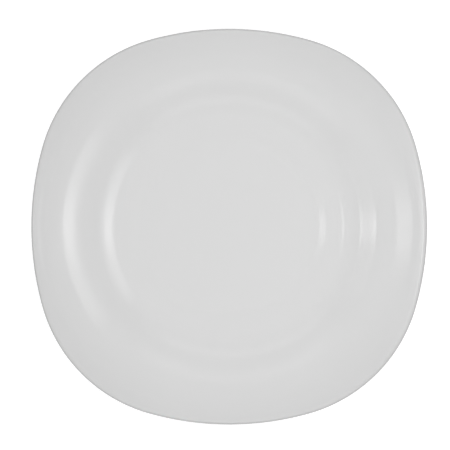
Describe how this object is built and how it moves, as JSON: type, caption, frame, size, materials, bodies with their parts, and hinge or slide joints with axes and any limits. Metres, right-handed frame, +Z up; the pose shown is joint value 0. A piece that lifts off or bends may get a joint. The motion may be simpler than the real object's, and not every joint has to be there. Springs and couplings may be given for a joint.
{
  "type": "square dinner plate",
  "caption": "Softly square white dinner plate of pressed opal glass, with a round flat-floored well, a rim that rises all the way out to a rounded lip, and a round foot ring to stand on.",
  "frame": {"origin": "on the table plane, at the middle of the foot ring, straight below the middle of the plate", "axes": "+Z points up out of the dished side; +X and +Y point at the middles of two neighbouring sides, and the plate looks the same from all four sides"},
  "size_m": [0.27, 0.27, 0.0245],
  "materials": {
    "opal_glass": "glossy opaque white opal glass, pressed and fire-polished"
  },
  "bodies": {
    "root": {"plate": "opal_glass"}
  },
  "joints": []
}
